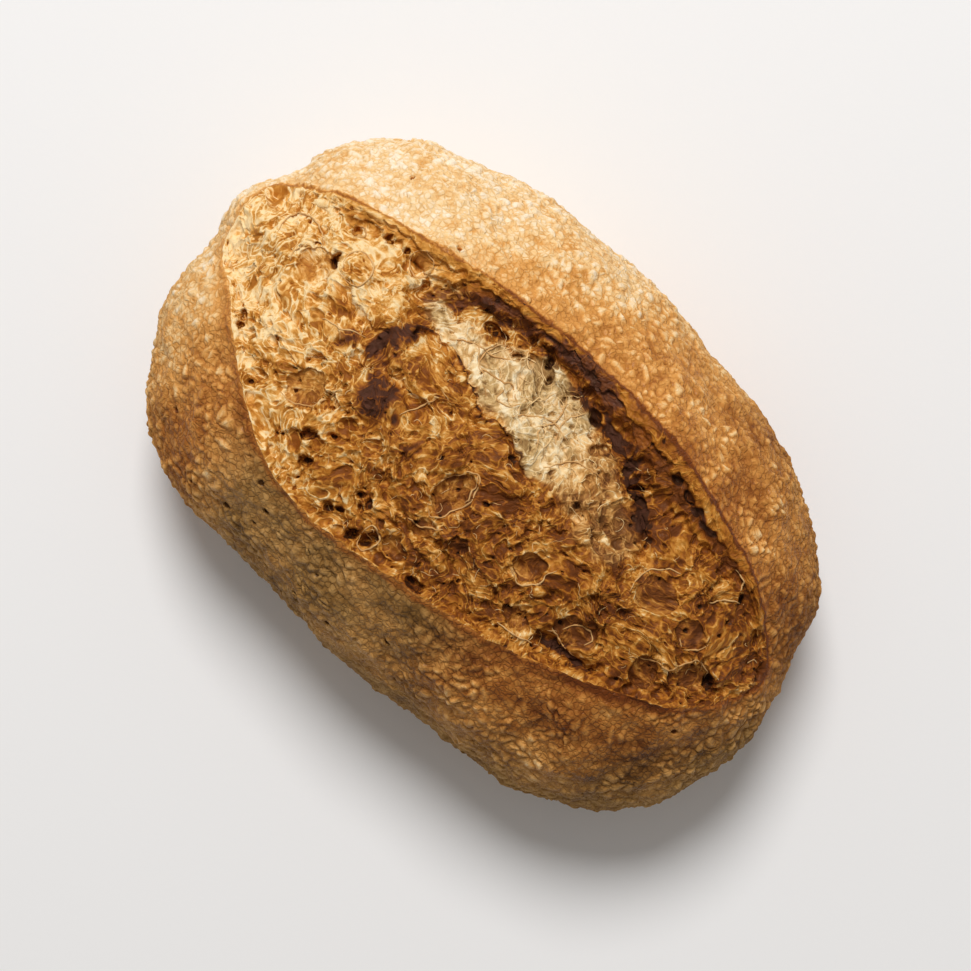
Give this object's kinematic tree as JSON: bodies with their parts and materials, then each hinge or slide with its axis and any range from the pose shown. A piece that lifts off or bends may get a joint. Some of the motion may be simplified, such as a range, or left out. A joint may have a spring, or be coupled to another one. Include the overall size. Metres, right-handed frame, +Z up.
{
  "type": "sourdough bread loaf",
  "caption": "Uncut oval sourdough loaf with a blistered crust, split along the top by one slash with a raised ear and torn crumb, standing on its flat base.",
  "frame": {"origin": "middle of the flat base, under the middle of the loaf", "axes": "+X along the loaf, +Y towards the side that the ear stands on, +Z up"},
  "size_m": [0.258, 0.1688, 0.0976],
  "materials": {
    "crust": "golden brown baked crust, blistered and slightly glossy, with paler torn crumb in the opening"
  },
  "bodies": {
    "root": {"loaf": "crust"}
  },
  "joints": []
}
